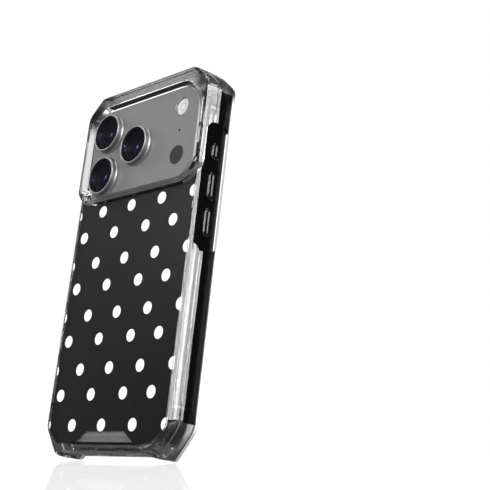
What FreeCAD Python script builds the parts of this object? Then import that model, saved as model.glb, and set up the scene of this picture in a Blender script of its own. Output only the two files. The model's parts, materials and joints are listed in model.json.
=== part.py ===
"""Clear polka-dot protective case fitted on its phone, standing on the case's bottom feet.

Millimetres. Origin at the bottom centre: +Z runs up the phone, the screen faces -Y and
the dotted back faces +Y. The volume side is -X, the power side +X.
"""
import FreeCAD, Part
import math
import os

os.makedirs("parts", exist_ok=True)

# ---- driving dimensions: case ----
CASE_HALF_WIDTH = 39.5
CASE_HEIGHT = 157.0
CHAMFER_Z = 11.7                    # height of the bottom corner chamfers on the side
TOP_CHAMFER_Z = 8.1                 # the same at the top corners
FOOT_X = 30.4                       # where the bottom chamfers end, at the feet
FOOT_FLAT = 1.2                     # width of the narrow flat each foot stands on
TOP_CORNER_X = 30.6
FOOT_SLOPE_X = 27.6                 # inner end of the foot's slope
RECESS_Z = 1.5                      # the bottom edge between the feet
LIP_Y = -8.5                        # front of the raised lip
RIM_Y = 5.8                         # back rim round the panel
GUARD_Y = 7.3                       # top of the camera guard
PANEL_Y = 5.3                       # printed surface
PRINT_THICK = 0.2
PLATE_THICK = 1.5
PANEL_HALF_WIDTH = 36.85
PANEL_BOTTOM_Z = 5.0
PANEL_CHAMFER_X = 7.1
PANEL_CHAMFER_Z = 6.1
WINDOW_HALF_FOOT = 19.0             # clear trapezoid at the panel's foot
WINDOW_HALF_HEAD = 12.4
WINDOW_TOP_Z = 9.9
GUARD_BOTTOM_Z = 106.3
GUARD_REACH = 39.8                  # half width of the guard's plan, past the sides
GUARD_RADII = (12.0, 4.0)           # its corners, lower and upper
OPENING_HALF_WIDTH = 36.7           # camera opening
OPENING_Z = (108.6, 151.5)
OPENING_CHAMFER = (10.0, 7.2)       # its top corners, across and up
POCKET_FLOOR_X = 38.05              # floor of the side recesses
BAND_FLOOR_X = 39.15                # floor of the shallow side bands
BAND_Y = (-6.5, -0.1)
BAND_Z = (13.4, 146.0)
PAD_FACE_X = 39.1                   # outer face of the raised button pads
PAD_INNER_X = 36.75
PAD_CENTRE_Y = -1.5
PAD_HALF_Y = 1.9

# ---- driving dimensions: dots ----
DOT_RADIUS = 2.5
ROW_PITCH = 11.33
TOP_ROW_Z = 102.75
ODD_ROW_LIFT = 0.9
ROW_COUNT = 9
EVEN_COLUMNS = (38.4, 21.1, 2.0, -17.2, -36.35)
ODD_COLUMNS = (31.9, 11.4, -8.95, -25.8)

# ---- driving dimensions: phone ----
PHONE_HALF_WIDTH = 35.95
PHONE_Z = (3.5, 153.5)
PHONE_FRONT_Y = -5.7
PHONE_BACK_Y = 3.45
PHONE_CORNER = 17.5
PLATEAU_Y = 6.1
PLATEAU_HALF_WIDTH = 34.2
PLATEAU_Z = (109.4, 150.2)
LENS_TOP_Y = 8.5
FIT = 0.2                           # running gap between phone and case
MID_Y = -0.93                       # middle of the phone's thickness
LENS_CENTRES = {"main": (22.95, 138.5), "ultrawide": (3.1, 129.0), "telephoto": (22.95, 118.7)}
LENS_RING_RADIUS = 8.45
LENS_BORE_RADIUS = 7.65
FLASH_CENTRE = (-23.5, 140.9)
MIC_CENTRE = (-23.6, 130.3)
LIDAR_CENTRE = (-23.7, 119.7)
LEFT_PADS = {"action": (117.0, 124.0), "volume_up": (100.3, 111.8), "volume_down": (85.2, 96.7)}
POWER_PAD_Z = (89.8, 107.2)
CAMERA_CONTROL_Z = (43.9, 61.9)
KEY_HALF_Y = 1.3                    # half the width of the phone's own keys
KEY_SHORTER = 0.5                   # each end of a key, inside the end of its pad
KEY_PROUD = 0.4                     # a key's height above the phone's side
FAR = 60.0                          # reach of cutting tools past the outside


# ---- shape helpers ----
def on_xz(y):
    return lambda u, v: FreeCAD.Vector(u, y, v)


def on_yz(x):
    return lambda u, v: FreeCAD.Vector(x, u, v)


def on_xy(z):
    return lambda u, v: FreeCAD.Vector(u, v, z)


def unit(a, b):
    """Unit vector and length from a to b."""
    length = math.hypot(b[0] - a[0], b[1] - a[1])
    return (b[0] - a[0]) / length, (b[1] - a[1]) / length


def outline(points, radii, place):
    """Closed wire through points, each corner rounded by its radius."""
    count = len(points)
    corners = []
    for i in range(count):
        vertex = points[i]
        into = unit(points[i - 1], vertex)
        away = unit(vertex, points[(i + 1) % count])
        if radii[i] <= 0:
            corners.append((vertex, None, vertex))
            continue
        half_turn = math.acos(max(-1.0, min(1.0, into[0] * away[0] + into[1] * away[1]))) / 2
        setback = radii[i] * math.tan(half_turn)
        start = (vertex[0] - setback * into[0], vertex[1] - setback * into[1])
        end = (vertex[0] + setback * away[0], vertex[1] + setback * away[1])
        inward = unit((0, 0), (away[0] - into[0], away[1] - into[1]))
        depth = radii[i] / math.cos(half_turn) - radii[i]
        middle = (vertex[0] + depth * inward[0], vertex[1] + depth * inward[1])
        corners.append((start, middle, end))
    edges = []
    for i in range(count):
        start, middle, end = corners[i]
        if middle is not None:
            edges.append(Part.Arc(place(*start), place(*middle), place(*end)).toShape())
        following = corners[(i + 1) % count][0]
        if math.hypot(following[0] - end[0], following[1] - end[1]) > 1e-6:
            edges.append(Part.LineSegment(place(*end), place(*following)).toShape())
    return Part.Wire(edges)


def box_outline(u, v, radius, place):
    """Rounded rectangle; radius is one number or (low v, high v)."""
    low, high = radius if isinstance(radius, tuple) else (radius, radius)
    points = [(u[0], v[0]), (u[1], v[0]), (u[1], v[1]), (u[0], v[1])]
    return outline(points, [low, low, high, high], place)


def slab(wire, direction):
    return Part.Face(wire).extrude(FreeCAD.Vector(*direction))


def plate(half_width, z, radius, y0, y1):
    """Rounded rectangle seen from the back, from y0 to y1."""
    return slab(box_outline((-half_width, half_width), z, radius, on_xz(y0)), (0, y1 - y0, 0))


def block(x, y, z, radius=0.0):
    """Box with its four Z edges rounded."""
    if radius <= 0:
        return Part.makeBox(x[1] - x[0], y[1] - y[0], z[1] - z[0], FreeCAD.Vector(x[0], y[0], z[0]))
    return slab(box_outline(x, y, radius, on_xy(z[0])), (0, 0, z[1] - z[0]))


def side_block(x, y, z, radius):
    """Block whose rounded outline is seen from the side."""
    return slab(box_outline(y, z, radius, on_yz(x[0])), (x[1] - x[0], 0, 0))


def disc(centre, radius, y0, y1):
    base = FreeCAD.Vector(centre[0], y0, centre[1])
    return Part.makeCylinder(radius, y1 - y0, base, FreeCAD.Vector(0, 1, 0))


def turned(profile, centre):
    """Solid of revolution about the Y axis through centre; profile is (radius, y)."""
    points = [FreeCAD.Vector(centre[0] + r, y, centre[1]) for r, y in profile]
    face = Part.Face(Part.makePolygon(points + [points[0]]))
    return face.revolve(FreeCAD.Vector(centre[0], 0, centre[1]), FreeCAD.Vector(0, 1, 0), 360)


def rim_edges(shape, y):
    """Edges of a shape that lie wholly at the level y."""
    level = []
    for edge in shape.Edges:
        box = edge.BoundBox
        if abs(box.YMin - y) < 1e-4 and abs(box.YMax - y) < 1e-4:
            level.append(edge)
    return level


def loft(wires):
    return Part.makeLoft(wires, True, True)


def save(name, *solids):
    shape = solids[0] if len(solids) == 1 else Part.makeCompound(list(solids))
    shape.exportStep("parts/" + name + ".step")
    print(name, len(shape.Solids), shape.isValid(), round(shape.Volume, 1))


# ---- the case's outer form ----
SIDE, CHAMFER, TOP, FOOT, BOTTOM = 1.0, 0.7, 0.6, 0.55, 0.25     # how much of the bevel each edge takes
OUTER_POINTS = [
    (FOOT_X, 0.0),
    (CASE_HALF_WIDTH, CHAMFER_Z),
    (CASE_HALF_WIDTH, CASE_HEIGHT - TOP_CHAMFER_Z),
    (TOP_CORNER_X, CASE_HEIGHT),
    (-TOP_CORNER_X, CASE_HEIGHT),
    (-CASE_HALF_WIDTH, CASE_HEIGHT - TOP_CHAMFER_Z),
    (-CASE_HALF_WIDTH, CHAMFER_Z),
    (-FOOT_X, 0.0),
    (-FOOT_X + FOOT_FLAT, 0.0),
    (-FOOT_SLOPE_X, RECESS_Z),
    (FOOT_SLOPE_X, RECESS_Z),
    (FOOT_X - FOOT_FLAT, 0.0),
]
OUTER_RADII = [0.4, 7.0, 5.5, 4.0, 4.0, 5.5, 7.0, 0.4, 0.4, 1.5, 1.5, 0.4]
EDGE_BEVELS = [CHAMFER, SIDE, CHAMFER, TOP, CHAMFER, SIDE, CHAMFER, FOOT, BOTTOM, BOTTOM, BOTTOM, FOOT]


def moved_in(points, insets):
    """Polygon with each edge moved inwards by its inset."""
    count = len(points)
    lines = []
    for i in range(count):
        a = points[i]
        d = unit(a, points[(i + 1) % count])
        lines.append(((a[0] - d[1] * insets[i], a[1] + d[0] * insets[i]), d))
    result = []
    for i in range(count):
        (p, d), (q, e) = lines[i - 1], lines[i]
        t = ((q[0] - p[0]) * e[1] - (q[1] - p[1]) * e[0]) / (d[0] * e[1] - d[1] * e[0])
        result.append((p[0] + t * d[0], p[1] + t * d[1]))
    return result


def outer_section(y, bevel, groove=0.0):
    insets = [bevel * share + groove for share in EDGE_BEVELS]
    return outline(moved_in(OUTER_POINTS, insets), OUTER_RADII, on_xz(y))


def bumper_body():
    """Bevelled outer form with a fine groove round the edge, before it is hollowed."""
    sections = [
        (LIP_Y, 0.8, 0.0),
        (LIP_Y + 0.6, 0.2, 0.0),
        (LIP_Y + 1.2, 0.0, 0.0),
        (-0.1, 0.0, 0.0),
        (1.0, 0.13, 0.0),
        (1.35, 0.17, 0.3),
        (1.7, 0.21, 0.0),
        (2.5, 0.3, 0.0),
        (3.0, 0.42, 0.0),
        (3.7, 0.75, 0.0),
        (RIM_Y, 2.2, 0.0),
    ]
    body = loft([outer_section(*section) for section in sections])
    guard = loft([outer_section(2.5, 0.3), outer_section(GUARD_Y - 0.5, 0.7), outer_section(GUARD_Y, 1.0)])
    return body.fuse(guard.common(guard_footprint()))


def guard_footprint():
    """Plan of the raised camera guard, its lower edge slightly sloped."""
    wires = []
    for y, rise in ((2.5, 0.0), (RIM_Y, 0.0), (GUARD_Y - 0.4, 0.15), (GUARD_Y, 0.6)):
        z = (GUARD_BOTTOM_Z + rise, CASE_HEIGHT + 1)
        wires.append(box_outline((-GUARD_REACH, GUARD_REACH), z, GUARD_RADII, on_xz(y)))
    return loft(wires)


def panel_prism(y0, y1):
    """Plan of the back panel, which meets the guard at its top."""
    half = PANEL_HALF_WIDTH
    foot = half - PANEL_CHAMFER_X
    top = GUARD_BOTTOM_Z + 14
    points = [
        (-foot, PANEL_BOTTOM_Z),
        (foot, PANEL_BOTTOM_Z),
        (half, PANEL_BOTTOM_Z + PANEL_CHAMFER_Z),
        (half, top),
        (-half, top),
        (-half, PANEL_BOTTOM_Z + PANEL_CHAMFER_Z),
    ]
    prism = slab(outline(points, [2.0, 2.0, 3.0, 0.0, 0.0, 3.0], on_xz(y0)), (0, y1 - y0, 0))
    z = (GUARD_BOTTOM_Z, CASE_HEIGHT + 1)
    return prism.cut(plate(GUARD_REACH, z, GUARD_RADII, y0 - 1, y1 + 1))


def opening_prism(y0, y1):
    """Camera opening: rounded below, chamfered at its top corners."""
    half = OPENING_HALF_WIDTH
    low, high = OPENING_Z
    across, up = OPENING_CHAMFER
    points = [
        (-half, low),
        (half, low),
        (half, high - up),
        (half - across, high),
        (across - half, high),
        (-half, high - up),
    ]
    return slab(outline(points, [9.5, 9.5, 6.0, 6.0, 6.0, 6.0], on_xz(y0)), (0, y1 - y0, 0))


def phone_outline(grow, y):
    z = (PHONE_Z[0] - grow, PHONE_Z[1] + grow)
    half = PHONE_HALF_WIDTH + grow
    return box_outline((-half, half), z, PHONE_CORNER + grow, on_xz(y))


def side_recess(side, z, floor, cut):
    """Recess in one side wall: chamfered towards the back and the front."""
    back, front = 4.5, -6.9
    points = [
        (front, z[0] + 2.6), (front + 2.1, z[0]), (back - 3.3, z[0]), (back, z[0] + 3.0),
        (back, z[1] - 2.8), (back - 2.3, z[1]), (front + 2.1, z[1]), (front, z[1] - 2.6),
    ]
    wire = outline(points, [cut] * len(points), on_yz(side * floor))
    return slab(wire, (side * FAR, 0, 0))


def pad_span(z, gap):
    y = (PAD_CENTRE_Y - PAD_HALF_Y - gap, PAD_CENTRE_Y + PAD_HALF_Y + gap)
    return y, (z[0] - gap, z[1] + gap)


def make_bumper():
    body = bumper_body()
    phone_top = PHONE_BACK_Y + 0.15
    cavity = slab(phone_outline(FIT, PHONE_FRONT_Y - 0.15), (0, phone_top - PHONE_FRONT_Y + 0.15, 0))
    cavity = cavity.makeFillet(2.3, rim_edges(cavity, phone_top))
    lip = loft([phone_outline(-0.2, LIP_Y - 0.5), phone_outline(-0.2, LIP_Y), phone_outline(-0.85, LIP_Y + 0.9),
                phone_outline(-0.85, PHONE_FRONT_Y + 0.2)])
    cuts = [cavity, lip, panel_prism(phone_top, FAR)]
    cuts.append(opening_prism(phone_top - 0.6, FAR))
    for side in (-1, 1):
        band = side_block((side * BAND_FLOOR_X, side * FAR), BAND_Y, BAND_Z, 1.0)
        cuts.append(band)
    cuts.append(side_recess(-1, (78.8, 132.0), POCKET_FLOOR_X, 0.5))
    cuts.append(side_recess(1, (34.0, 114.0), POCKET_FLOOR_X, 0.5))
    for z in LEFT_PADS.values():
        y, z = pad_span(z, 0.15)
        cuts.append(side_block((-FAR, -35.0), y, z, 1.8))
    y, z = pad_span(POWER_PAD_Z, 0.15)
    cuts.append(side_block((35.0, FAR), y, z, 1.8))
    finger_y = (MID_Y - 3.7, MID_Y + 3.7)
    finger_z = (40.4, 65.4)
    cuts.append(side_block((35.0, FAR), finger_y, finger_z, 3.0))
    for z in (21.0, 25.2):
        cuts.append(Part.makeCylinder(0.9, 10, FreeCAD.Vector(35, MID_Y, z), FreeCAD.Vector(1, 0, 0)))
    cuts.append(block((-6.4, 6.4), (MID_Y - 3.2, MID_Y + 3.2), (-1, 10), 3.1))
    for side in (-1, 1):
        x = tuple(sorted((side * 10.7, side * 21.3)))
        cuts.append(block(x, (MID_Y - 1.7, MID_Y + 1.7), (-1, 10), 1.6))
    for tool in cuts:
        body = body.cut(tool)
    return body


# ---- panel, print and pads ----
def dot_places():
    places = []
    for row in range(ROW_COUNT):
        odd = row % 2
        z = TOP_ROW_Z - ROW_PITCH * row + ODD_ROW_LIFT * odd
        for x in (ODD_COLUMNS if odd else EVEN_COLUMNS):
            places.append((x, z))
    return places


def make_panel():
    skin = PANEL_Y - PRINT_THICK
    save("case_back_plate", panel_prism(skin - PLATE_THICK, skin))
    film = panel_prism(skin, PANEL_Y)
    dots = [film.common(disc(place, DOT_RADIUS, skin, PANEL_Y)) for place in dot_places()]
    corners = [
        (-WINDOW_HALF_FOOT - 0.6, PANEL_BOTTOM_Z - 0.4), (WINDOW_HALF_FOOT + 0.6, PANEL_BOTTOM_Z - 0.4),
        (WINDOW_HALF_HEAD, WINDOW_TOP_Z), (-WINDOW_HALF_HEAD, WINDOW_TOP_Z),
    ]
    clear = slab(outline(corners, [0, 0, 0.8, 0.8], on_xz(skin - 1)), (0, 2, 0))
    for place in dot_places():
        film = film.cut(disc(place, DOT_RADIUS, skin - 1, PANEL_Y + 1))
    save("print_film", film.cut(clear))
    save("print_dots", *[solid for dot in dots for solid in dot.Solids])


def make_pad(name, side, z):
    """Raised pad with bevelled edges and fine grip grooves across it."""
    y, span = pad_span(z, 0.0)
    wires = []
    for x, shrink in ((PAD_INNER_X, 0.0), (PAD_FACE_X - 0.45, 0.0), (PAD_FACE_X, 0.45)):
        wires.append(box_outline((y[0] + shrink, y[1] - shrink), (span[0] + shrink, span[1] - shrink),
                                 1.65 - shrink, on_yz(side * x)))
    pad = loft(wires)
    pitch = 1.15
    grooves = int((span[1] - span[0] - 3.2) / pitch) + 1
    middle = (span[0] + span[1]) / 2
    for i in range(grooves):
        centre = middle + (i - (grooves - 1) / 2) * pitch
        tool = block(tuple(sorted((side * (PAD_FACE_X - 0.18), side * 41))), (y[0] + 0.9, y[1] - 0.9),
                     (centre - 0.22, centre + 0.22))
        pad = pad.cut(tool)
    save(name, pad)


# ---- phone shell ----
def plateau_prism(grow, y0, y1):
    z = (PLATEAU_Z[0] - grow, PLATEAU_Z[1] + grow)
    return plate(PLATEAU_HALF_WIDTH + grow, z, (10.5 + grow, 13.0 + grow), y0, y1)


def phone_solid():
    """Whole phone body, softly rounded, with its camera plateau."""
    body = slab(phone_outline(0.0, PHONE_FRONT_Y + 0.25), (0, PHONE_BACK_Y - PHONE_FRONT_Y - 0.25, 0))
    body = body.makeFillet(2.5, rim_edges(body, PHONE_BACK_Y))
    body = body.makeFillet(0.6, rim_edges(body, PHONE_FRONT_Y + 0.25))
    plateau = plateau_prism(0.0, PHONE_BACK_Y - 1.5, PLATEAU_Y)
    plateau = plateau.makeFillet(0.8, rim_edges(plateau, PLATEAU_Y))
    return body.fuse(plateau)


def inner_plate(inset, y0, y1):
    z = (PHONE_Z[0] + inset, PHONE_Z[1] - inset)
    return plate(PHONE_HALF_WIDTH - inset, z, PHONE_CORNER - inset, y0, y1)


REAR_WALL_Y = 2.0                    # inner face of the phone's back wall
GLASS_Y = 2.85                       # floor of the rear glass's recess
DISPLAY_Y = -4.9                     # under the front glass
WALL = 1.95                          # the frame's side wall


def band_regions():
    """Where the frame's plastic antenna inserts lie."""
    regions = []
    for side in (-1, 1):
        x = tuple(sorted((side * (PHONE_HALF_WIDTH - 1.2), side * 40)))
        for z in (19.0, 139.0):
            regions.append(block(x, (-4.4, 6), (z - 0.6, z + 0.6)))
    return regions


def speaker_holes():
    places = []
    for side in (-1, 1):
        for i in range(6):
            places.append(side * (12.0 + 1.7 * i))
    return places


def make_frame():
    whole = phone_solid()
    bands = [whole.common(region) for region in band_regions()]
    save("antenna_bands", *[solid for band in bands for solid in band.Solids])
    frame = whole
    cuts = band_regions()
    cuts.append(inner_plate(WALL, PHONE_FRONT_Y - 1, REAR_WALL_Y))
    cuts.append(inner_plate(0.6, PHONE_FRONT_Y - 1, DISPLAY_Y))
    cuts.append(plate(32.0, (8.0, 106.0), 13.0, GLASS_Y, 10))
    cuts.append(plate(28.2, (12.0, 102.0), 9.0, REAR_WALL_Y - 1, 10))
    cuts.append(plateau_prism(-2.0, REAR_WALL_Y - 1, 4.9))
    for centre in LENS_CENTRES.values():
        cuts.append(disc(centre, 7.75, 4, 10))
    cuts.append(disc(FLASH_CENTRE, 3.75, 4, 10))
    cuts.append(disc(MIC_CENTRE, 0.6, 4, 10))
    cuts.append(disc(LIDAR_CENTRE, 4.05, 4, 10))
    for side, z, proud in KEYS.values():
        cuts.append(key_slot(side, z))
    cuts.append(block((-4.5, 4.5), (MID_Y - 1.65, MID_Y + 1.65), (0, 8), 1.6))
    for x in speaker_holes():
        cuts.append(Part.makeCylinder(0.6, 8, FreeCAD.Vector(x, MID_Y, 0), FreeCAD.Vector(0, 0, 1)))
    for x in (-8.0, 8.0):
        cuts.append(Part.makeCylinder(0.8, 8, FreeCAD.Vector(x, MID_Y, 0), FreeCAD.Vector(0, 0, 1)))
    for tool in cuts:
        frame = frame.cut(tool)
    save("phone_frame", frame)


def under_pad(z):
    return z[0] + KEY_SHORTER, z[1] - KEY_SHORTER


KEYS = {
    "action_button": (-1, under_pad(LEFT_PADS["action"]), KEY_PROUD),
    "volume_up_button": (-1, under_pad(LEFT_PADS["volume_up"]), KEY_PROUD),
    "volume_down_button": (-1, under_pad(LEFT_PADS["volume_down"]), KEY_PROUD),
    "side_button": (1, under_pad(POWER_PAD_Z), KEY_PROUD),
    "camera_control": (1, CAMERA_CONTROL_Z, 0.0),
}


def key_slot(side, z):
    half = KEY_HALF_Y + 0.1
    return side_block((side * 30.0, side * 42.0), (MID_Y - half, MID_Y + half), (z[0] - 0.1, z[1] + 0.1), 1.3)


def make_key(name, side, z, proud):
    """Key with a wider inner flange that keeps it in the frame."""
    y = (MID_Y - KEY_HALF_Y, MID_Y + KEY_HALF_Y)
    face = PHONE_HALF_WIDTH + proud
    key = loft([
        box_outline(y, z, 1.2, on_yz(side * 33.4)),
        box_outline(y, z, 1.2, on_yz(side * (face - 0.25))),
        box_outline((y[0] + 0.2, y[1] - 0.2), (z[0] + 0.2, z[1] - 0.2), 1.0, on_yz(side * face)),
    ])
    flange = side_block((side * 33.4, side * 33.9), (y[0] - 0.5, y[1] + 0.5), (z[0] - 0.5, z[1] + 0.5), 0.6)
    save(name, key.fuse(flange))


def make_glasses():
    front = inner_plate(0.65, PHONE_FRONT_Y, DISPLAY_Y)
    save("front_glass", front.makeFillet(0.5, rim_edges(front, PHONE_FRONT_Y)))
    panel = inner_plate(2.6, DISPLAY_Y, DISPLAY_Y + 0.9)
    save("display_panel", panel)
    gasket = inner_plate(2.0, DISPLAY_Y, DISPLAY_Y + 0.6)
    save("display_gasket", gasket.cut(inner_plate(2.6, DISPLAY_Y - 1, DISPLAY_Y + 2)))
    save("rear_glass", plate(31.95, (8.05, 105.95), 12.95, GLASS_Y, PHONE_BACK_Y))


# ---- cameras and sensors ----
def make_lens(name, centre):
    ring = turned([
        (LENS_BORE_RADIUS, PLATEAU_Y), (8.8, PLATEAU_Y), (8.7, PLATEAU_Y + 0.15), (8.5, PLATEAU_Y + 0.45),
        (LENS_RING_RADIUS, PLATEAU_Y + 0.8), (LENS_RING_RADIUS, LENS_TOP_Y - 0.25),
        (LENS_RING_RADIUS - 0.25, LENS_TOP_Y), (LENS_BORE_RADIUS + 0.15, LENS_TOP_Y),
        (LENS_BORE_RADIUS, LENS_TOP_Y - 0.15),
    ], centre)
    save(name + "_lens_ring", ring)
    save(name + "_lens_glass", disc(centre, LENS_BORE_RADIUS - 0.02, 6.95, LENS_TOP_Y - 0.2))
    x, z = centre
    base = block((x - 6.8, x + 6.8), (-1.8, 1.9), (z - 6.8, z + 6.8))
    barrel = turned([
        (0, 1.9), (6.6, 1.9), (6.6, 5.0), (7.4, 5.0), (7.4, 6.9), (6.9, 6.9), (6.3, 6.3), (5.6, 6.3),
        (5.2, 5.8), (4.4, 5.8), (4.0, 5.3), (3.2, 5.3), (3.2, 3.0), (0, 3.0),
    ], centre)
    save(name + "_camera_module", base.fuse(barrel))


def make_lens_elements():
    elements = []
    for centre in LENS_CENTRES.values():
        elements.append(turned([(0, 3.0), (3.15, 3.0), (3.15, 4.3), (2.4, 4.75), (1.3, 5.05), (0, 5.15)], centre))
    save("lens_elements", *elements)


def make_sensors():
    lens = turned([(0, 5.4), (3.7, 5.4), (3.7, 6.1), (3.35, 6.2), (0, 6.2)], FLASH_CENTRE)
    save("flash_lens", lens)
    save("flash_led", disc(FLASH_CENTRE, 3.6, 4.2, 5.3))
    save("rear_microphone", disc(MIC_CENTRE, 0.58, 5.2, 5.8))
    save("lidar_cover", disc(LIDAR_CENTRE, 4.0, 5.4, PLATEAU_Y))
    sensor = block((-27.2, -20.2), (2.2, 4.8), (116.2, 123.2), 0.8)
    save("lidar_module", sensor.fuse(disc(LIDAR_CENTRE, 3.3, 4.8, 5.4)))
    save("front_camera_module", disc((6.5, 144.5), 2.6, -3.5, 0.5))
    save("face_sensor_module", block((-9.5, -2.5), (-3.5, -0.5), (142.4, 146.6), 0.8))


# ---- electronics inside the phone ----
def make_internals():
    battery = block((-6.0, 30.5), (-2.6, 1.6), (23.0, 104.0), 1.4)
    save("battery", battery)
    board = block((-31.0, -8.0), (-0.9, -0.1), (34.0, 105.0))
    for x, z in (((-30.0, -9.0), (70.0, 103.0)), ((-30.0, -9.0), (36.0, 66.0))):
        board = board.fuse(block(x, (-0.1, 1.3), z))
    save("logic_board", board)
    save("heat_spreader", plate(25.0, (30.0, 138.0), 4.0, -3.3, -2.9))
    save("haptic_motor", block((-28.5, -9.5), (-2.6, 1.2), (9.5, 17.0), 1.0))
    save("bottom_speaker", block((9.5, 28.5), (-2.6, 1.2), (9.5, 19.5), 1.0))
    save("earpiece_speaker", block((-7.0, 7.0), (-2.6, -0.3), (147.9, 151.0), 0.6))
    coil_centre = (0.0, 74.0)
    save("charging_coil", disc(coil_centre, 21.0, 2.0, 2.6).cut(disc(coil_centre, 10.5, 1, 4)))
    ring = disc(coil_centre, 27.4, 2.0, 2.7).cut(disc(coil_centre, 23.6, 1, 4))
    gap = block((-1.2, 1.2), (1, 4), (40.0, 74.0))
    save("magnet_ring", ring.cut(gap))
    shell = block((-4.45, 4.45), (MID_Y - 1.6, MID_Y + 1.6), (3.7, 10.5), 1.55)
    shell = shell.cut(block((-4.17, 4.17), (MID_Y - 1.28, MID_Y + 1.28), (3, 10.0), 1.25))
    save("charging_port_shell", shell)
    save("charging_port_tongue", block((-3.3, 3.3), (MID_Y - 0.35, MID_Y + 0.35), (4.4, 10.0)))
    screws = []
    for x in (-8.0, 8.0):
        head = Part.makeCylinder(0.75, 1.2, FreeCAD.Vector(x, MID_Y, 3.6), FreeCAD.Vector(0, 0, 1))
        shank = Part.makeCylinder(0.5, 3.0, FreeCAD.Vector(x, MID_Y, 4.8), FreeCAD.Vector(0, 0, 1))
        drive = block((x - 0.35, x + 0.35), (MID_Y - 0.1, MID_Y + 0.1), (3, 4.0))
        screws.append(head.fuse(shank).cut(drive))
    save("bottom_screws", *screws)
    meshes = [block((11.0, 21.2), (MID_Y - 1.0, MID_Y + 1.0), (5.75, 6.05)),
              block((-21.2, -11.0), (MID_Y - 1.0, MID_Y + 1.0), (5.75, 6.05))]
    save("speaker_mesh", *meshes)
    switches = []
    for side, z, proud in KEYS.values():
        switches.append(switch_at(side, (z[0] + z[1]) / 2))
    save("button_switches", *switches)


def switch_at(side, z):
    """Small dome switch just inside its key."""
    base = side_block((side * 31.6, side * 32.5), (MID_Y - 1.2, MID_Y + 1.2), (z - 1.8, z + 1.8), 0.3)
    dome = Part.makeCylinder(0.8, 0.4, FreeCAD.Vector(side * 32.5, MID_Y, z), FreeCAD.Vector(side, 0, 0))
    return base.fuse(dome)


save("bumper", make_bumper())
make_panel()
for key, levels in LEFT_PADS.items():
    make_pad(key + "_pad", -1, levels)
make_pad("power_pad", 1, POWER_PAD_Z)
for key, (key_side, levels, height) in KEYS.items():
    make_key(key, key_side, levels, height)
make_frame()
make_glasses()
for key, place in LENS_CENTRES.items():
    make_lens(key, place)
make_lens_elements()
make_sensors()
make_internals()
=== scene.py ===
"""Looks for the clear polka-dot phone case on its phone: materials, small detail, studio and camera.

Metres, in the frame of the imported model: +Z up the phone, the screen faces -Y, the dots +Y.
"""
import json
import math

import bmesh
import bpy
from mathutils import Matrix, Vector

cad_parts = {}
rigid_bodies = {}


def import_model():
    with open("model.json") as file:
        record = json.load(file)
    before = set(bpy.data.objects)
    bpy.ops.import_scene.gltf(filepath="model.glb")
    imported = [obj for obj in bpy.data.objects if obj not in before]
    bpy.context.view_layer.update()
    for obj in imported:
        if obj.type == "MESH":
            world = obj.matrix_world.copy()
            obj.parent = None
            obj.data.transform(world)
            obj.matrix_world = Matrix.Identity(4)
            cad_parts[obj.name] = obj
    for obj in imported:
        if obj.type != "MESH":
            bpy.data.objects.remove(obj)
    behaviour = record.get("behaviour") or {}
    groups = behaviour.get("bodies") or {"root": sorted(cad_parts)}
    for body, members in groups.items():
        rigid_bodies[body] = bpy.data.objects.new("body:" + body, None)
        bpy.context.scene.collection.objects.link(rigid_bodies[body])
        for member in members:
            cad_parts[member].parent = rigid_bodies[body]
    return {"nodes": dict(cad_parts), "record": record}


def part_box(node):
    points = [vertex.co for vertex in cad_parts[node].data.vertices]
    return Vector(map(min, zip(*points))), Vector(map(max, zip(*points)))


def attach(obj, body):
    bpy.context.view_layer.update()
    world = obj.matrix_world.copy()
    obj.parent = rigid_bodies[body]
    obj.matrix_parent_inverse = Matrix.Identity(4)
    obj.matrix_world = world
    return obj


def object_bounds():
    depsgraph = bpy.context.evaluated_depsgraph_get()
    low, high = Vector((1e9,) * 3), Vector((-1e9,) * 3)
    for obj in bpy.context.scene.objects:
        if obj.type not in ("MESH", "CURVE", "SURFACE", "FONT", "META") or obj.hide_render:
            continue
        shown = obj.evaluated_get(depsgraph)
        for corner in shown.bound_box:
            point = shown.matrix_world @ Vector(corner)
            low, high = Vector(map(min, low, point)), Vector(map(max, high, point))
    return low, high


for leftover in list(bpy.data.objects):
    bpy.data.objects.remove(leftover)

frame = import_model()
CAD_BOX = [list(corner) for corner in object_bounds()]
NODES = frame["nodes"]
LOW, HIGH = (Vector(corner) for corner in CAD_BOX)
CENTRE = (LOW + HIGH) / 2
MM = 0.001

# Pairs of places are where a tint starts and where it is full.
# The bumper's side strips and button recesses, painted black as shade
STRIP_INSET_Z = (13.4 * MM, 11.0 * MM)  # the strips end this far from the bottom and the top
STRIP_Y = (-6.45 * MM, -0.15 * MM)
RECESS_FLOOR_X = 38.4 * MM
RECESS_BACK_Y = 4.4 * MM
PHONE_SIDE_X = 36.3 * MM
# The bumper's front lip, a little frosted and darkened with painted shade
LIP_Y = (-6.5 * MM, -6.6 * MM)
LIP_EDGE_Y = (-8.15 * MM, -8.3 * MM)
LIP_TOP_DROP = (9 * MM, 6 * MM)     # the lip's edge grows lighter this far below the top
LIP_CLEARNESS = 0.4                 # the lip is a little frosted
LIP_SHADE = 0.2
LIP_EDGE_SHADE = (0.85, 0.35)       # along the sides and along the top
# The bumper's ends, darkened with painted smoky shade
BOTTOM_RISE = (15 * MM, 8 * MM)
BOTTOM_SHADE = 0.61
CORNER_X = (27 * MM, 35 * MM)
CORNER_DROP = (17 * MM, 9 * MM)
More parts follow.
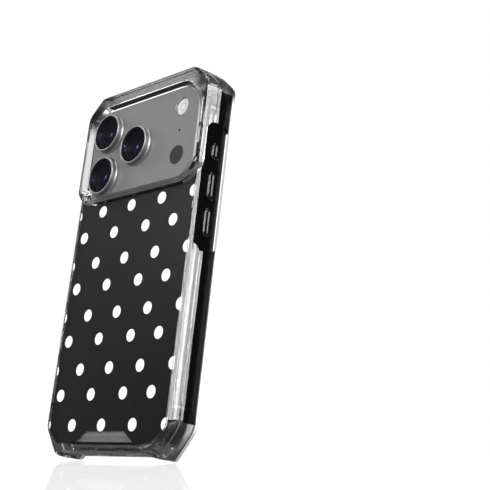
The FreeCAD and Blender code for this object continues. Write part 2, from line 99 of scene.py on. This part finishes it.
# The guard round the cameras, with painted shade at its foot, along its edge and on the opening's top wall
GUARD_FOOT_Z = 106.3 * MM
GUARD_FOOT_RISE = (6 * MM, 1 * MM)
GUARD_FOOT_Y = (5.4 * MM, 5.9 * MM)
GUARD_SHADE = 0.18
GUARD_LINE_X = 38.0 * MM            # the dark line along the guard's edge starts at these three
GUARD_LINE_Z = 156.2 * MM
GUARD_LINE_SLANT = 135.25 * MM
GUARD_LINE_Y = 6.75 * MM
CORNER_NORMAL = (0.673, 0.740)      # across the chamfered top corners
OPENING_TOP_Z = 151.5 * MM
OPENING_TOP_THICK = 0.15 * MM
OPENING_TOP_HALF_X = 27 * MM
OPENING_TOP_Y = 6.9 * MM
# The phone; its sides get painted shade and its plateau's upper edge a painted highlight
METAL_BACK_Y = (2.4 * MM, 3.4 * MM)
PLATEAU_HIGHLIGHT_Z = (149.1 * MM, 149.5 * MM)
PLATEAU_HIGHLIGHT_Y = (5.0 * MM, 5.3 * MM)
ISLAND_HALF_X = 10.5 * MM           # the dark pill round the screen's camera
ISLAND_RADIUS = 4.0 * MM
ISLAND_DROP = 5.0 * MM              # its middle, below the top of the screen
FLASH_RADIUS = 3.6 * MM
FLASH_RINGS = ((0.22, 0.9), (0.34, 0.62), (0.62, 0.7))
# The pieces made here, in mm
FRONT_ELEMENT = (3.9, 5.4, 6.35)    # radius, base y and crown y
RIDGE_HALF_WIDTH = 0.62
RIDGE_RISE = 0.55
RIDGE_SUNK = 0.2
RIDGE_SHORTER = 1.8                 # than its pad
# The studio
DIM = 0.08                          # the studio away from its lamps
THROUGH = 0.9                       # the backdrop, seen through clear plastic
FLOOR_TILT = math.radians(6.9)      # the case leans back a little on its front bottom edge
FLOOR_HALF = 4.0
FLOOR_PLACE = (0, -0.006, LOW.z - 0.0003)
SOFTBOXES = (                       # name, place, size, radiance
    ("key_back", (-0.75, 1.25, 0.75), (0.8, 0.8), 6.0),
    ("strip_bevel", (-1.20, 0.721, 0.48), (0.44, 0.85), 12.0),
    ("strip_edge", (-1.379, 0.243, 0.48), (0.22, 0.85), 22.0),
    ("strip_side", (-1.358, -0.339, 0.48), (0.24, 0.85), 10.0),
    ("strip_draft", (-1.24, -0.65, 0.48), (0.18, 0.85), 9.0),
    ("lens_spark", (1.07, 1.19, 0.6), (0.24, 0.24), 14.0),
    ("top_right", (1.03, -0.42, 1.1), (0.8, 0.8), 3.5),
    ("strip_right", (1.3, 0.2, 0.5), (0.35, 1.1), 5.0),
    ("top", (0.0, 0.15, 1.5), (0.9, 0.9), 5.0),
    ("fill_front", (0.7, -1.3, 0.7), (0.8, 0.8), 4.0),
)
CAMERA_PLACE = Vector((-0.3300, 0.2554, -0.0286))
CAMERA_LOOK = Vector((0.6948, -0.6633, 0.2778)).normalized()
CAMERA_UP = Vector((-0.1268, 0.2672, 0.9552)).normalized()
CAMERA_LENS = 77.0


# ---- node helpers ----
class Tree:
    """The node tree of a material or a world, built by name."""

    def __init__(self, owner, output="ShaderNodeOutputMaterial"):
        self.owner = owner
        owner.use_nodes = True
        self.tree = owner.node_tree
        self.tree.nodes.clear()
        self.output = self.add(output)

    def add(self, kind, settings=None, **inputs):
        made = self.tree.nodes.new(kind)
        for key, value in (settings or {}).items():
            setattr(made, key, value)
        for key, value in inputs.items():
            self.put(made, key.replace("_", " "), value)
        return made

    def put(self, made, socket, value):
        target = made.inputs[socket]
        if isinstance(value, bpy.types.NodeSocket):
            self.tree.links.new(value, target)
        elif target.type == "RGBA":
            target.default_value = (*value, 1)
        else:
            target.default_value = value

    def surface(self, shader):
        self.put(self.output, "Surface", shader)
        return self.owner

    def math(self, operation, *values):
        made = self.add("ShaderNodeMath", {"operation": operation})
        for index, value in enumerate(values):
            self.put(made, index, value)
        return made.outputs["Value"]

    def product(self, first, *others):
        for other in others:
            first = self.math("MULTIPLY", first, other)
        return first

    def most(self, first, *others):
        for other in others:
            first = self.math("MAXIMUM", first, other)
        return first

    def length(self, first, second):
        squares = [self.product(side, side) for side in (first, second)]
        return self.math("SQRT", self.math("ADD", *squares))

    def place(self, kind="Object"):
        return self.add("ShaderNodeTexCoord").outputs[kind]

    def xyz(self, kind="Object"):
        parts = self.add("ShaderNodeSeparateXYZ", Vector=self.place(kind)).outputs
        return parts["X"], parts["Y"], parts["Z"]

    def noise(self, scale, detail=3.0, rough=0.55, stretch=None):
        vector = self.place()
        if stretch:
            vector = self.add("ShaderNodeMapping", Vector=vector, Scale=stretch).outputs["Vector"]
        made = self.add("ShaderNodeTexNoise", Vector=vector, Scale=scale, Detail=detail, Roughness=rough)
        return made.outputs["Fac"]

    def spread(self, value, low, high):
        """Value from 0..1 mapped to low..high."""
        return self.add("ShaderNodeMapRange", Value=value, To_Min=low, To_Max=high).outputs["Result"]

    def share(self, value, low, high):
        """Value from low..high mapped to 0..1."""
        return self.add("ShaderNodeMapRange", Value=value, From_Min=low, From_Max=high).outputs["Result"]

    def fade(self, value, start, end):
        """0 at start, 1 at end, smooth between."""
        ends = (0.0, 1.0) if start < end else (1.0, 0.0)
        made = self.add("ShaderNodeMapRange", {"interpolation_type": "SMOOTHSTEP"}, Value=value,
                        From_Min=min(start, end), From_Max=max(start, end), To_Min=ends[0], To_Max=ends[1])
        return made.outputs["Result"]

    def tint(self, value, dark, light):
        """From dark at 0 to light at 1."""
        made = self.add("ShaderNodeMix", {"data_type": "RGBA"}, Factor=value)
        colours = [index for index, socket in enumerate(made.inputs) if socket.type == "RGBA"]
        for index, colour in zip(colours, (dark, light)):
            self.put(made, index, colour)
        return next(socket for socket in made.outputs if socket.type == "RGBA")

    def bump(self, height, distance, strength=0.3):
        made = self.add("ShaderNodeBump", Height=height, Distance=distance, Strength=strength)
        return made.outputs["Normal"]

    def blend(self, value, first, second):
        """The first shader at 0, the second at 1."""
        made = self.add("ShaderNodeMixShader")
        for index, socket in enumerate((value, first, second)):
            self.put(made, index, socket)
        return made.outputs["Shader"]


def material(name):
    return Tree(bpy.data.materials.new(name))


def grey(value):
    return (value, value, value)


def node_centre(name):
    low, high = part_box(name)
    return (low.x + high.x) / 2, (low.z + high.z) / 2


# ---- materials ----
def solid(name, dark, light, rough, metallic=0.0, scale=400.0, bump_scale=2500.0, bump=0.00002,
          stretch=None, coat=0.0, specular=0.5):
    """Opaque material: colour and roughness drift with one noise, fine bump from another."""
    t = material(name)
    drift = t.noise(scale, stretch=stretch)
    fine = t.noise(bump_scale, detail=2.0, stretch=stretch)
    shader = t.add("ShaderNodeBsdfPrincipled", Base_Color=t.tint(drift, dark, light),
                   Roughness=t.spread(drift, *rough), Metallic=metallic, Normal=t.bump(fine, bump),
                   Coat_Weight=coat, Coat_Roughness=0.05, Specular_IOR_Level=specular)
    return t.surface(shader.outputs["BSDF"])


def painted_shade_sides(t):
    """1 in the bumper's side strips and button recesses, which are painted black as shade, 0 elsewhere."""
    x, y, z = t.xyz()
    reach = t.math("ABSOLUTE", x)
    low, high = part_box("bumper")
    over = t.math("GREATER_THAN", z, low.z + STRIP_INSET_Z[0])
    under = t.math("LESS_THAN", z, high.z - STRIP_INSET_Z[1])
    front = t.math("GREATER_THAN", y, STRIP_Y[0])
    outer = t.math("GREATER_THAN", reach, PHONE_SIDE_X)
    strip = t.math("LESS_THAN", y, STRIP_Y[1])
    recess = t.product(t.math("LESS_THAN", reach, RECESS_FLOOR_X), t.math("LESS_THAN", y, RECESS_BACK_Y))
    return t.product(over, under, front, outer, t.most(strip, recess))


def painted_shade_opening_top(t):
    """1 on the upper inside wall of the camera opening, which is painted black as shade."""
    x, y, z = t.xyz()
    near = t.math("COMPARE", z, OPENING_TOP_Z, OPENING_TOP_THICK)
    inside = t.math("LESS_THAN", t.math("ABSOLUTE", x), OPENING_TOP_HALF_X)
    return t.product(near, inside, t.math("LESS_THAN", y, OPENING_TOP_Y))


def painted_shade_guard_line(t):
    """1 along the outer edge of the camera guard, a thin line of painted shade."""
    x, y, z = t.xyz()
    reach = t.math("ABSOLUTE", x)
    slant = t.math("MULTIPLY_ADD", z, CORNER_NORMAL[1], t.product(reach, CORNER_NORMAL[0]))
    around = t.most(t.math("GREATER_THAN", reach, GUARD_LINE_X), t.math("GREATER_THAN", z, GUARD_LINE_Z),
                    t.math("GREATER_THAN", slant, GUARD_LINE_SLANT))
    return t.product(around, t.math("GREATER_THAN", y, GUARD_LINE_Y), t.math("GREATER_THAN", z, GUARD_FOOT_Z))


def painted_shade_ends(t):
    """How much painted smoky shade darkens the bumper: its top corners, bottom edge, front lip, guard foot
    and guard line.
    """
    x, y, z = t.xyz()
    low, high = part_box("bumper")
    bottom = t.product(t.fade(z, *(low.z + rise for rise in BOTTOM_RISE)), BOTTOM_SHADE)
    corner = t.product(t.fade(t.math("ABSOLUTE", x), *CORNER_X),
                       t.fade(z, *(high.z - drop for drop in CORNER_DROP)))
    guard = t.product(t.fade(z, *(GUARD_FOOT_Z + rise for rise in GUARD_FOOT_RISE)),
                      t.fade(y, *GUARD_FOOT_Y), GUARD_SHADE)
    lip = t.product(t.fade(y, *LIP_Y), LIP_SHADE)
    edge_shade = t.spread(t.fade(z, *(high.z - drop for drop in LIP_TOP_DROP)), *LIP_EDGE_SHADE)
    edge = t.product(t.fade(y, *LIP_EDGE_Y), edge_shade)
    return t.most(bottom, corner, lip, edge, guard, painted_shade_guard_line(t))


def clear(name, tint, rough, absorb, density, shadow, shade_colour=None, black=None):
    """Clear moulded plastic that lets light through to what it covers; on the bumper, painted smoky and black
    shade tint its colour.
    """
    t = material(name)
    shader = t.add("ShaderNodeBsdfPrincipled", IOR=1.49, Roughness=t.spread(t.noise(90.0), *rough),
                   Normal=t.bump(t.noise(160.0, detail=1.0), 0.000012, 0.4))
    if shade_colour:
        # painted shade: the side strips, button recesses and the opening's top wall go near black, the
        # bumper's ends smoky
        dark = t.most(painted_shade_sides(t), painted_shade_opening_top(t))
        depth = t.xyz()[1]
        t.put(shader, "Base Color", t.tint(dark, t.tint(painted_shade_ends(t), tint, shade_colour), black))
        t.put(shader, "Transmission Weight", t.spread(t.fade(depth, *LIP_Y), 1.0, LIP_CLEARNESS))
    else:
        t.put(shader, "Base Color", tint)
        t.put(shader, "Transmission Weight", 1.0)
    through = t.add("ShaderNodeBsdfTransparent", Color=shadow)
    is_shadow = t.add("ShaderNodeLightPath").outputs["Is Shadow Ray"]
    volume = t.add("ShaderNodeVolumeAbsorption", Color=absorb, Density=density)
    t.put(t.output, "Volume", volume.outputs["Volume"])
    return t.surface(t.blend(is_shadow, shader.outputs["BSDF"], through.outputs["BSDF"]))


def film(name, colour, ior, rough):
    """Thin clear cover: straight through, with a reflection that grows towards grazing views."""
    t = material(name)
    straight_on = ((ior - 1) / (ior + 1)) ** 2
    through = t.add("ShaderNodeBsdfTransparent", Color=colour)
    gloss = t.add("ShaderNodeBsdfGlossy", Color=grey(1.0), Roughness=t.spread(t.noise(200.0), *rough))
    steep = t.math("POWER", t.add("ShaderNodeLayerWeight", Blend=0.5).outputs["Facing"], 5.0)
    mirror = t.math("MULTIPLY_ADD", steep, 1 - straight_on, straight_on)
    return t.surface(t.blend(mirror, through.outputs["BSDF"], gloss.outputs["BSDF"]))


def display_material():
    """Idle screen: a soft grey gradient from its lower left to its upper right, with a darker pill."""
    t = material("display_gradient")
    x, _, z = t.xyz()
    low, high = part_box("display_panel")
    across = t.share(x, low.x, high.x)
    up = t.share(z, low.z, high.z)
    bright = t.spread(t.math("MULTIPLY_ADD", across, 0.45, up), 0.0, 0.69)
    along = t.math("SUBTRACT", t.math("ABSOLUTE", x), ISLAND_HALF_X - ISLAND_RADIUS)
    reach = t.length(t.math("MAXIMUM", along, 0.0), t.math("SUBTRACT", z, high.z - ISLAND_DROP))
    island = t.math("LESS_THAN", reach, ISLAND_RADIUS)
    plain = t.tint(bright, grey(0.10), grey(0.34))
    pill = t.tint(bright, grey(0.07), grey(0.24))
    shader = t.add("ShaderNodeBsdfPrincipled", Base_Color=t.tint(island, plain, pill),
                   Roughness=t.spread(t.noise(300.0), 0.35, 0.45))
    return t.surface(shader.outputs["BSDF"])


def flash_material():
    """Flash seen through its lens: white rim, grey reflector and a bright middle."""
    t = material("flash_phosphor")
    x, _, z = t.xyz()
    middle = node_centre("flash_led")
    reach = t.length(t.math("SUBTRACT", x, middle[0]), t.math("SUBTRACT", z, middle[1]))
    rings = t.add("ShaderNodeValToRGB", Fac=t.math("DIVIDE", reach, FLASH_RADIUS))
    inner, outer = rings.color_ramp.elements
    inner.position, inner.color = 0.0, (0.9, 0.9, 0.88, 1)
    outer.position, outer.color = 0.75, (0.9, 0.9, 0.9, 1)
    for place, value in FLASH_RINGS:
        rings.color_ramp.elements.new(place).color = (*grey(value), 1)
    shader = t.add("ShaderNodeBsdfPrincipled", Base_Color=rings.outputs["Color"],
                   Roughness=t.spread(t.noise(900.0), 0.4, 0.55), Normal=t.bump(t.noise(4000.0), 0.00003))
    return t.surface(shader.outputs["BSDF"])


def phone_metal():
    """Blasted metal: satin on the back, a bright painted highlight on the plateau's upper edge, and painted
    shade darkening the sides.
    """
    t = material("blasted_aluminium")
    _, y, z = t.xyz()
    # painted shade: the sides are coloured darker than the back; painted highlight: the plateau's upper edge
    # is coloured near white
    back = t.fade(y, *METAL_BACK_Y)
    edge = t.product(t.fade(z, *PLATEAU_HIGHLIGHT_Z), t.fade(y, *PLATEAU_HIGHLIGHT_Y))
    shade = t.math("MULTIPLY_ADD", t.noise(500.0), 0.15, t.product(back, 0.85))
    colour = t.tint(edge, t.tint(shade, grey(0.05), grey(0.18)), grey(0.95))
    metallic = t.math("SUBTRACT", t.spread(back, 1.0, 0.55), t.product(edge, 0.5))
    shader = t.add("ShaderNodeBsdfPrincipled", Base_Color=colour, Metallic=metallic,
                   Roughness=t.spread(shade, 0.24, 0.46), Normal=t.bump(t.noise(6000.0, detail=2.0), 0.00001))
    return t.surface(shader.outputs["BSDF"])


SLOT_MATERIALS = {
    # the bumper's clear plastic carries painted shade: grey(0.02) is its smoky painted shade, grey(0.0005)
    # the black painted into its side strips, recesses and opening top
    "clear_soft": clear("soft_clear_tpu", (0.96, 0.965, 0.97), (0.02, 0.05), (0.41, 0.41, 0.42), 45.0,
                        grey(0.7), shade_colour=grey(0.02), black=grey(0.0005)),
    "clear_plate": clear("hard_clear_plate", (0.86, 0.862, 0.865), (0.01, 0.03), (0.8, 0.81, 0.82), 40.0,
                         grey(0.6)),
    "black_print": solid("black_print_film", grey(0.005), grey(0.008), (0.28, 0.36), specular=0.1),
    "white_print": solid("white_print_dots", grey(0.86), grey(0.90), (0.35, 0.45), coat=0.2),
    "phone_metal": phone_metal(),
    "key_glass": solid("satin_key", grey(0.19), grey(0.21), (0.25, 0.3)),
    "band_plastic": solid("antenna_plastic", grey(0.16), grey(0.18), (0.45, 0.55)),
    "cover_glass": film("cover_glass", (0.98, 0.98, 0.985), 1.5, (0.0, 0.02)),
    "display": display_material(),
    "rear_glass": solid("satin_rear_glass", grey(0.20), grey(0.22), (0.4, 0.5)),
    "lens_metal": solid("polished_ring", grey(0.24), grey(0.29), (0.4, 0.48), metallic=1.0,
                        scale=300.0, bump_scale=4000.0, bump=0.000004),
    "lens_glass": film("lens_cover", (0.62, 0.60, 0.66), 1.45, (0.0, 0.015)),
    "camera_black": solid("camera_black", grey(0.006), grey(0.012), (0.3, 0.45)),
    "coated_glass": solid("coated_element", (0.03, 0.028, 0.045), (0.06, 0.05, 0.085), (0.03, 0.06),
                          coat=1.0),
    "flash_glass": film("flash_cover", (0.96, 0.96, 0.96), 1.5, (0.03, 0.08)),
    "led_phosphor": flash_material(),
    "dark_glass": solid("dark_glass", grey(0.02), grey(0.026), (0.2, 0.26), specular=0.08),
    "black_plastic": solid("black_plastic", grey(0.012), grey(0.02), (0.5, 0.6)),
    "battery_wrap": solid("battery_wrap", grey(0.05), grey(0.07), (0.3, 0.4)),
    "board": solid("circuit_board", (0.015, 0.06, 0.04), (0.03, 0.09, 0.06), (0.4, 0.5)),
    "graphite": solid("graphite_sheet", grey(0.12), grey(0.16), (0.3, 0.4), metallic=0.8,
                      stretch=(1, 1, 0.05)),
    "steel": solid("satin_steel", grey(0.5), grey(0.58), (0.25, 0.35), metallic=1.0),
    "copper": solid("wound_copper", (0.62, 0.3, 0.17), (0.75, 0.4, 0.24), (0.25, 0.35), metallic=1.0),
}

for row in frame["record"]["subparts"]:
    shape = NODES[row["node"]].data
    shape.materials.clear()
    shape.materials.append(SLOT_MATERIALS[row["material_slot"]])


# ---- small detail pieces ----
def mesh_piece(name, vertices, faces, slot, body, smooth_below):
    """A piece from its vertices and faces, in metres; edges sharper than smooth_below degrees stay sharp."""
    shape = bpy.data.meshes.new(name)
    shape.from_pydata(vertices, [], faces)
    form = bmesh.new()
    form.from_mesh(shape)
    bmesh.ops.recalc_face_normals(form, faces=form.faces)
    form.to_mesh(shape)
    form.free()
    shape.shade_smooth()
    shape.set_sharp_from_angle(angle=math.radians(smooth_below))
    shape.materials.append(SLOT_MATERIALS[slot])
    piece = bpy.data.objects.new(name, shape)
    bpy.context.scene.collection.objects.link(piece)
    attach(piece, body)
    return piece


def turned(name, profile, centre, slot, body, steps=96):
    """Surface of revolution about the Y axis from (radius mm, y mm) points that start and end on the axis."""
    vertices, faces, rings = [], [], []
    for radius, y in profile:
        count = steps if radius > 0 else 1
        rings.append(range(len(vertices), len(vertices) + count))
        for i in range(count):
            angle = 2 * math.pi * i / steps
            vertices.append((centre[0] + radius * MM * math.cos(angle), y * MM,
                             centre[1] + radius * MM * math.sin(angle)))
    for a, b in zip(rings, rings[1:]):
        for i in range(steps):
            j = (i + 1) % steps
            corners = (a[i % len(a)], a[j % len(a)], b[j % len(b)], b[i % len(b)])
            faces.append(list(dict.fromkeys(corners)))
    return mesh_piece(name, vertices, faces, slot, body, smooth_below=40.0)


def dome(radius, base, top, drop=0.3, steps=10):
    """Profile of a shallow lens from its base plane to its crown, in mm; its rim is drop over its base."""
    sagitta = top - base - drop
    curve = (radius ** 2 + sagitta ** 2) / (2 * sagitta)
    points = [(0.0, base), (radius, base)]
    for i in range(steps + 1):
        r = radius * (1 - i / steps)
        points.append((r, top - curve + math.sqrt(curve ** 2 - r ** 2)))
    return points


def ridge(name, pad, steps=14, rings=5):
    """Rounded bar along a pad's outer face, its ends drawn in."""
    low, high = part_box(pad)
    side = -1 if low.x < 0 else 1
    face = (low.x if side < 0 else high.x) - side * RIDGE_SUNK * MM
    middle = (low.y + high.y) / 2
    centre = (low.z + high.z) / 2
    half = RIDGE_HALF_WIDTH * MM
    rise = RIDGE_RISE * MM
    length = high.z - low.z - RIDGE_SHORTER * MM
    turns = [math.pi / 2 * (i + 1) / rings for i in range(rings)]
    stations = [(-length / 2 + half * (1 - math.cos(a)), math.sin(a)) for a in turns]
    stations += [(-z, scale) for z, scale in reversed(stations)]
    vertices, faces = [], []
    for z, scale in stations:
        for k in range(steps):
            angle = 2 * math.pi * k / steps
            vertices.append((face + side * rise * scale * max(math.sin(angle), -0.2),
                             middle + half * scale * math.cos(angle), centre + z))
    for row in range(len(stations) - 1):
        for k in range(steps):
            a = row * steps + k
            b = row * steps + (k + 1) % steps
            faces.append((a, b, b + steps, a + steps))
    last = (len(stations) - 1) * steps
    faces.append(tuple(range(steps)))
    faces.append(tuple(range(last, last + steps)))
    return mesh_piece(name, vertices, faces, "clear_soft", pad + "_body", smooth_below=60.0)


for lens in ("main", "ultrawide", "telephoto"):
    ring_centre = node_centre(lens + "_lens_ring")
    turned(lens + "_front_element", dome(*FRONT_ELEMENT), ring_centre, "coated_glass", "phone")
for pad in ("action_pad", "volume_up_pad", "volume_down_pad", "power_pad"):
    ridge(pad + "_ridge", pad)


# ---- studio ----
def softbox(name, place, size, radiance):
    light = bpy.data.lights.new(name, "AREA")
    light.shape = "RECTANGLE"
    light.size, light.size_y = size
    light.energy = radiance * math.pi * size[0] * size[1]
    lamp = bpy.data.objects.new(name, light)
    lamp.location = place
    lamp.rotation_euler = (CENTRE - Vector(place)).to_track_quat("-Z", "Y").to_euler()
    lamp.visible_camera = False
    scene.collection.objects.link(lamp)


def make_world():
    """White behind everything and through the clear plastic; a dim studio in reflections."""
    t = Tree(bpy.data.worlds.new("studio"), "ShaderNodeOutputWorld")
    rays = t.add("ShaderNodeLightPath").outputs
    clear_view = t.most(rays["Is Camera Ray"], t.product(rays["Is Transmission Ray"], THROUGH))
    x, y, z = t.xyz("Generated")
    low_band = t.math("SUBTRACT", 1.0, t.fade(z, 0.12, 0.2))
    behind = t.fade(t.math("SUBTRACT", x, y), 1.15, 1.3)
    strength = t.most(t.product(low_band, behind), DIM, clear_view)
    shine = t.add("ShaderNodeBackground", Color=grey(1.0), Strength=strength)
    return t.surface(shine.outputs["Background"])


def floor_material():
    """Plain white with a faint mirror; it is dim in mirrors, so the phone's reflections stay dark."""
    t = material("studio_floor")
    white = t.add("ShaderNodeBsdfDiffuse", Color=grey(0.1))
    is_glossy = t.add("ShaderNodeLightPath").outputs["Is Glossy Ray"]
    strength = t.math("MULTIPLY_ADD", is_glossy, -0.85, 1.0)
    glow = t.add("ShaderNodeEmission", Color=grey(1.0), Strength=strength)
    both = t.add("ShaderNodeAddShader")
    t.put(both, 0, white.outputs["BSDF"])
    t.put(both, 1, glow.outputs["Emission"])
    mirror = t.add("ShaderNodeBsdfGlossy", Color=grey(1.0), Roughness=t.spread(t.noise(3.0), 0.01, 0.02))
    share = t.product(t.add("ShaderNodeFresnel", IOR=1.4).outputs["Fac"], 0.35)
    return t.surface(t.blend(share, both.outputs["Shader"], mirror.outputs["BSDF"]))


def make_floor():
    half = FLOOR_HALF
    corners = [(-half, -half, 0), (half, -half, 0), (half, half, 0), (-half, half, 0)]
    shape = bpy.data.meshes.new("floor")
    shape.from_pydata(corners, [], [(0, 1, 2, 3)])
    shape.materials.append(floor_material())
    floor = bpy.data.objects.new("floor", shape)
    floor.location = FLOOR_PLACE
    floor.rotation_euler = (-FLOOR_TILT, 0, 0)
    scene.collection.objects.link(floor)


def make_camera():
    camera = bpy.data.objects.new("camera", bpy.data.cameras.new("camera"))
    camera.data.lens = CAMERA_LENS
    camera.data.clip_start = 0.01
    side = CAMERA_LOOK.cross(CAMERA_UP).normalized()
    rise = side.cross(CAMERA_LOOK)
    turn = Matrix((side, rise, -CAMERA_LOOK)).transposed().to_4x4()
    camera.matrix_world = Matrix.Translation(CAMERA_PLACE) @ turn
    scene.collection.objects.link(camera)
    return camera


scene = bpy.context.scene
scene.view_settings.view_transform = "Standard"
for lamp_row in SOFTBOXES:
    softbox(*lamp_row)
scene.world = make_world()
make_floor()
scene.camera = make_camera()

bpy.context.view_layer.update()
